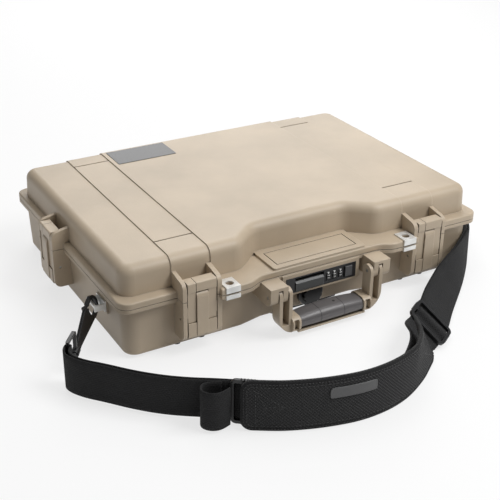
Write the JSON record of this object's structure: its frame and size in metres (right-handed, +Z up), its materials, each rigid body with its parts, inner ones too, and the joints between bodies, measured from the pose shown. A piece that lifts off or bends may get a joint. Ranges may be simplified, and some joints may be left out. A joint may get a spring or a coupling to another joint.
{
  "type": "laptop hard case",
  "caption": "Moulded hard case for a laptop: hinged lid, draw latches, swinging handle, dial lock, purge valve, foam with a pocket, and a padded shoulder strap on snap hooks.",
  "frame": {"origin": "on the floor under the middle of the case's rim", "axes": "+Z up, +X to the right of a person who faces the handle, -Y towards them"},
  "size_m": [0.675, 0.5984, 0.1226],
  "materials": {
    "case_shell": "fine moulded texture, desert tan",
    "case_shell_trim": "smooth moulded, desert tan",
    "black_plastic": "satin black moulding",
    "grip_rubber": "matte grey",
    "black_rubber": "matte",
    "foam": "open-cell foam",
    "label": "bare label plate",
    "bright_steel": "stainless, brushed",
    "steel_pin": "turned",
    "dial": "number wheel",
    "webbing": "woven webbing",
    "pad_fabric": "woven, bound edge"
  },
  "bodies": {
    "case": {"anchor_screws": "bright_steel", "base_foam": "foam", "base_shell": "case_shell", "feet": "black_rubber", "handle_pins": "steel_pin", "hinge_pins": "steel_pin", "latch_hook_pins": "steel_pin", "lock_housing": "black_plastic", "lock_shaft": "steel_pin", "pad_patch": "pad_fabric", "padlock_plates_base": "bright_steel", "purge_valve_body": "black_plastic", "purge_valve_cap": "black_plastic", "shoulder_pad": "pad_fabric", "strap_anchor_left": "bright_steel", "strap_anchor_right": "bright_steel", "strap_back": "webbing", "strap_front": "webbing", "strap_return_left": "webbing", "strap_return_right": "webbing", "strap_slider_left": "black_plastic", "strap_slider_right": "black_plastic", "strap_tail": "webbing", "swivel_loop_left": "black_plastic", "swivel_loop_right": "black_plastic"},
    "lid": {"lid_shell": "case_shell", "lid_seal": "black_rubber", "lid_foam": "foam", "label_plate": "label", "padlock_plates_lid": "bright_steel"},
    "handle": {"handle_frame": "case_shell_trim", "handle_grip": "grip_rubber"},
    "release": {"lock_release": "black_plastic"},
    "lock_slide_button": {"lock_slide": "black_plastic"},
    "dial_1": {"lock_dial_1": "dial"},
    "dial_2": {"lock_dial_2": "dial"},
    "dial_3": {"lock_dial_3": "dial"},
    "hook_left": {"snap_hook_left": "black_plastic"},
    "hook_right": {"snap_hook_right": "black_plastic"},
    "gate_left": {"hook_gate_left": "black_plastic"},
    "gate_right": {"hook_gate_right": "black_plastic"},
    "front_left_hook": {"latch_front_left_hook": "case_shell_trim", "latch_front_left_lever_pin": "steel_pin"},
    "front_left_lever": {"latch_front_left_lever": "case_shell_trim"},
    "front_right_hook": {"latch_front_right_hook": "case_shell_trim", "latch_front_right_lever_pin": "steel_pin"},
    "front_right_lever": {"latch_front_right_lever": "case_shell_trim"},
    "side_left_hook": {"latch_side_left_hook": "case_shell_trim", "latch_side_left_lever_pin": "steel_pin"},
    "side_left_lever": {"latch_side_left_lever": "case_shell_trim"},
    "side_right_hook": {"latch_side_right_hook": "case_shell_trim", "latch_side_right_lever_pin": "steel_pin"},
    "side_right_lever": {"latch_side_right_lever": "case_shell_trim"}
  },
  "joints": [
    {"name": "lid_hinge", "type": "hinge", "parent": "case", "child": "lid", "pos_m": [0, 0.1906, 0.074], "axis": [-1, 0, 0], "range_deg": [0, 100]},
    {"name": "handle_swing", "type": "hinge", "parent": "case", "child": "handle", "pos_m": [0, -0.214, 0.06], "axis": [-1, 0, 0], "range_deg": [-15, 90]},
    {"name": "release_push", "type": "slide", "parent": "case", "child": "release", "axis": [0, 1, 0], "range_m": [0, 0.0025], "stiffness_N_per_m": 400},
    {"name": "lock_slide_move", "type": "slide", "parent": "case", "child": "lock_slide_button", "axis": [-1, 0, 0], "range_m": [0, 0.002]},
    {"name": "dial_1_turn", "type": "hinge", "parent": "case", "child": "dial_1", "pos_m": [0.0096, -0.191, 0.0572], "axis": [1, 0, 0], "continuous": true},
    {"name": "dial_2_turn", "type": "hinge", "parent": "case", "child": "dial_2", "pos_m": [0.0185, -0.191, 0.0572], "axis": [1, 0, 0], "continuous": true},
    {"name": "dial_3_turn", "type": "hinge", "parent": "case", "child": "dial_3", "pos_m": [0.0274, -0.191, 0.0572], "axis": [1, 0, 0], "continuous": true},
    {"name": "front_left_hook_swing", "type": "hinge", "parent": "case", "child": "front_left_hook", "pos_m": [-0.1662, -0.1905, 0.049], "axis": [1, 0, 0], "range_deg": [0, 36.8]},
    {"name": "front_left_lever_pull", "type": "hinge", "parent": "front_left_hook", "child": "front_left_lever", "pos_m": [-0.1662, -0.1938, 0.078], "axis": [-1, 0, 0], "range_deg": [0, 92]},
    {"name": "front_right_hook_swing", "type": "hinge", "parent": "case", "child": "front_right_hook", "pos_m": [0.1662, -0.1905, 0.049], "axis": [1, 0, 0], "range_deg": [0, 36.8]},
    {"name": "front_right_lever_pull", "type": "hinge", "parent": "front_right_hook", "child": "front_right_lever", "pos_m": [0.1662, -0.1938, 0.078], "axis": [-1, 0, 0], "range_deg": [0, 92], "deforming": ["strap_back", "strap_return_right"]},
    {"name": "side_left_hook_swing", "type": "hinge", "parent": "case", "child": "side_left_hook", "pos_m": [-0.2685, 0.022, 0.049], "axis": [0, -1, 0], "range_deg": [0, 36.8]},
    {"name": "side_left_lever_pull", "type": "hinge", "parent": "side_left_hook", "child": "side_left_lever", "pos_m": [-0.2718, 0.022, 0.078], "axis": [0, 1, 0], "range_deg": [0, 92]},
    {"name": "side_right_hook_swing", "type": "hinge", "parent": "case", "child": "side_right_hook", "pos_m": [0.2685, 0.022, 0.049], "axis": [0, 1, 0], "range_deg": [0, 36.8]},
    {"name": "side_right_lever_pull", "type": "hinge", "parent": "side_right_hook", "child": "side_right_lever", "pos_m": [0.2718, 0.022, 0.078], "axis": [0, -1, 0], "range_deg": [0, 92]},
    {"name": "hook_left_swivel", "type": "hinge", "parent": "case", "child": "hook_left", "pos_m": [-0.312, -0.166, 0.028], "axis": [-0.5963, -0.7454, -0.2981], "range_deg": [-8, 6]},
    {"name": "gate_left_press", "type": "hinge", "parent": "hook_left", "child": "gate_left", "pos_m": [-0.28167, -0.12311, 0.05412], "axis": [-0.6814, 0.6663, -0.303], "range_deg": [0, 20], "stiffness_Nm_per_rad": 0.02},
    {"name": "hook_right_swivel", "type": "hinge", "parent": "case", "child": "hook_right", "pos_m": [0.312, -0.056, 0.028], "axis": [0.5963, 0.7454, -0.2981], "range_deg": [-8, 6]},
    {"name": "gate_right_press", "type": "hinge", "parent": "hook_right", "child": "gate_right", "pos_m": [0.28167, -0.09889, 0.05412], "axis": [0.6814, -0.6663, -0.303], "range_deg": [0, 20], "stiffness_Nm_per_rad": 0.02}
  ],
  "couplings": [
    {"joint": "front_left_hook_swing", "follows": "front_left_lever_pull", "ratio": 0.4},
    {"joint": "front_right_hook_swing", "follows": "front_right_lever_pull", "ratio": 0.4},
    {"joint": "side_left_hook_swing", "follows": "side_left_lever_pull", "ratio": 0.4},
    {"joint": "side_right_hook_swing", "follows": "side_right_lever_pull", "ratio": 0.4}
  ]
}
